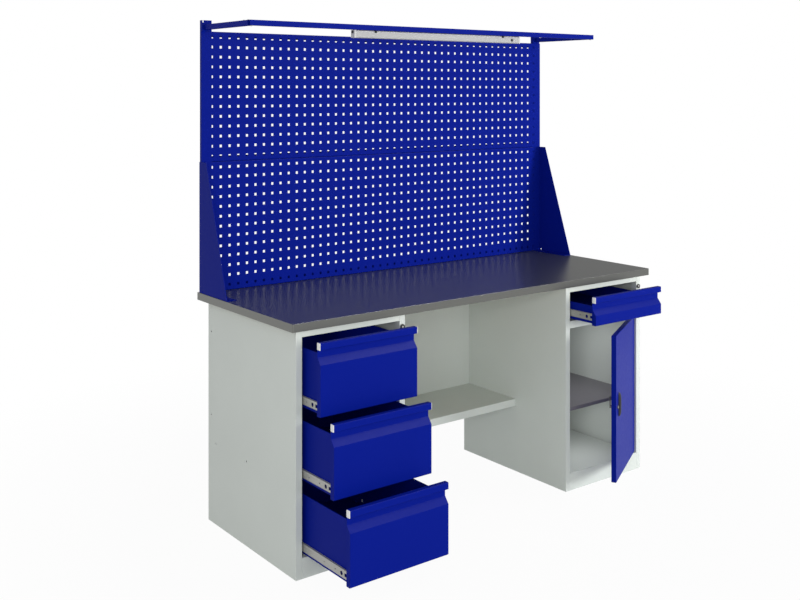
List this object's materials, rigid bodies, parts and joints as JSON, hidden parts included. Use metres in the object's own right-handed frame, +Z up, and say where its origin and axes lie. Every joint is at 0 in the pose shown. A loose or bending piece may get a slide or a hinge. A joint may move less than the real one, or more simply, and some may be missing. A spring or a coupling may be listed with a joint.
{
  "type": "workbench with drawers and cupboard door",
  "caption": "Steel workbench on pedestals with sliding drawers, a hinged cupboard door, a kneehole shelf, perforated tool panels and a lamp frame over the worktop.",
  "frame": {"origin": "on the floor, in the middle of the footprint from the open bottom drawer to the rear edge of the worktop", "axes": "+X along the bench to its cupboard side, +Y from the drawer fronts to the rear, +Z up"},
  "size_m": [1.8, 0.951, 1.9033],
  "materials": {
    "grey_enamel": "satin light grey enamel",
    "blue_enamel": "satin blue enamel",
    "dark_enamel": "satin dark grey enamel",
    "satin_steel": "satin steel sheet",
    "chipboard": "raw board",
    "zinc": "zinc plated",
    "black_plastic": "matte",
    "lamp_white": "satin",
    "lamp_cover": "satin, milky"
  },
  "bodies": {
    "bench": {"worktop_cover": "satin_steel", "worktop_board": "chipboard", "left_pedestal_shell": "grey_enamel", "left_pedestal_base": "grey_enamel", "left_pedestal_top": "grey_enamel", "right_pedestal_shell": "grey_enamel", "right_pedestal_base": "grey_enamel", "right_pedestal_top": "grey_enamel", "right_pedestal_divider": "grey_enamel", "cupboard_shelf": "dark_enamel", "kneehole_back_panel": "grey_enamel", "kneehole_shelf": "grey_enamel", "left_gusset": "blue_enamel", "left_upright": "blue_enamel", "right_gusset": "blue_enamel", "right_upright": "blue_enamel", "lower_tool_panel": "blue_enamel", "upper_tool_panel": "blue_enamel", "left_lamp_arm": "blue_enamel", "right_lamp_arm": "blue_enamel", "lamp_rail": "blue_enamel", "lamp_body": "lamp_white", "lamp_diffuser": "lamp_cover", "top_drawer_left_outer_rail": "zinc", "top_drawer_right_outer_rail": "zinc", "middle_drawer_left_outer_rail": "zinc", "middle_drawer_right_outer_rail": "zinc", "bottom_drawer_left_outer_rail": "zinc", "bottom_drawer_right_outer_rail": "zinc", "right_drawer_left_outer_rail": "zinc", "right_drawer_right_outer_rail": "zinc"},
    "top_drawer": {"top_drawer_front": "blue_enamel", "top_drawer_box": "blue_enamel", "top_drawer_left_inner_rail": "zinc", "top_drawer_right_inner_rail": "zinc"},
    "top_drawer_middle_rails": {"top_drawer_left_middle_rail": "zinc", "top_drawer_right_middle_rail": "zinc"},
    "middle_drawer": {"middle_drawer_front": "blue_enamel", "middle_drawer_box": "blue_enamel", "middle_drawer_left_inner_rail": "zinc", "middle_drawer_right_inner_rail": "zinc"},
    "middle_drawer_middle_rails": {"middle_drawer_left_middle_rail": "zinc", "middle_drawer_right_middle_rail": "zinc"},
    "bottom_drawer": {"bottom_drawer_front": "blue_enamel", "bottom_drawer_box": "blue_enamel", "bottom_drawer_left_inner_rail": "zinc", "bottom_drawer_right_inner_rail": "zinc"},
    "bottom_drawer_middle_rails": {"bottom_drawer_left_middle_rail": "zinc", "bottom_drawer_right_middle_rail": "zinc"},
    "right_drawer": {"right_drawer_front": "blue_enamel", "right_drawer_box": "blue_enamel", "right_drawer_left_inner_rail": "zinc", "right_drawer_right_inner_rail": "zinc"},
    "right_drawer_middle_rails": {"right_drawer_left_middle_rail": "zinc", "right_drawer_right_middle_rail": "zinc"},
    "door": {"door": "blue_enamel", "door_handle": "black_plastic"},
    "door_lock": {"door_lock": "zinc"},
    "left_pedestal_lock": {"left_pedestal_lock": "black_plastic"},
    "right_pedestal_lock": {"right_pedestal_lock": "black_plastic"}
  },
  "joints": [
    {"name": "top_drawer_middle_rails_slide", "type": "slide", "parent": "bench", "child": "top_drawer_middle_rails", "axis": [0, -1, 0], "range_m": [0, 0.26]},
    {"name": "top_drawer_slide", "type": "slide", "parent": "top_drawer_middle_rails", "child": "top_drawer", "axis": [0, -1, 0], "range_m": [-0.107, 0.183]},
    {"name": "middle_drawer_middle_rails_slide", "type": "slide", "parent": "bench", "child": "middle_drawer_middle_rails", "axis": [0, -1, 0], "range_m": [0, 0.26]},
    {"name": "middle_drawer_slide", "type": "slide", "parent": "middle_drawer_middle_rails", "child": "middle_drawer", "axis": [0, -1, 0], "range_m": [-0.187, 0.103]},
    {"name": "bottom_drawer_middle_rails_slide", "type": "slide", "parent": "bench", "child": "bottom_drawer_middle_rails", "axis": [0, -1, 0], "range_m": [0, 0.26]},
    {"name": "bottom_drawer_slide", "type": "slide", "parent": "bottom_drawer_middle_rails", "child": "bottom_drawer", "axis": [0, -1, 0], "range_m": [-0.278, 0.012]},
    {"name": "right_drawer_middle_rails_slide", "type": "slide", "parent": "bench", "child": "right_drawer_middle_rails", "axis": [0, -1, 0], "range_m": [0, 0.26]},
    {"name": "right_drawer_slide", "type": "slide", "parent": "right_drawer_middle_rails", "child": "right_drawer", "axis": [0, -1, 0], "range_m": [-0.137, 0.153]},
    {"name": "door_hinge", "type": "hinge", "parent": "bench", "child": "door", "pos_m": [0.829, -0.1875, 0.366], "axis": [0, 0, 1], "range_deg": [-30, 75]},
    {"name": "door_lock_turn", "type": "hinge", "parent": "door", "child": "door_lock", "pos_m": [0.52396, -0.37516, 0.368], "axis": [0.5, -0.866, 0], "range_deg": [0, 90]},
    {"name": "left_pedestal_lock_turn", "type": "hinge", "parent": "bench", "child": "left_pedestal_lock", "pos_m": [-0.425, -0.1975, 0.788], "axis": [0, -1, 0], "range_deg": [0, 90]},
    {"name": "right_pedestal_lock_turn", "type": "hinge", "parent": "bench", "child": "right_pedestal_lock", "pos_m": [0.859, -0.1975, 0.788], "axis": [0, -1, 0], "range_deg": [0, 90]}
  ]
}
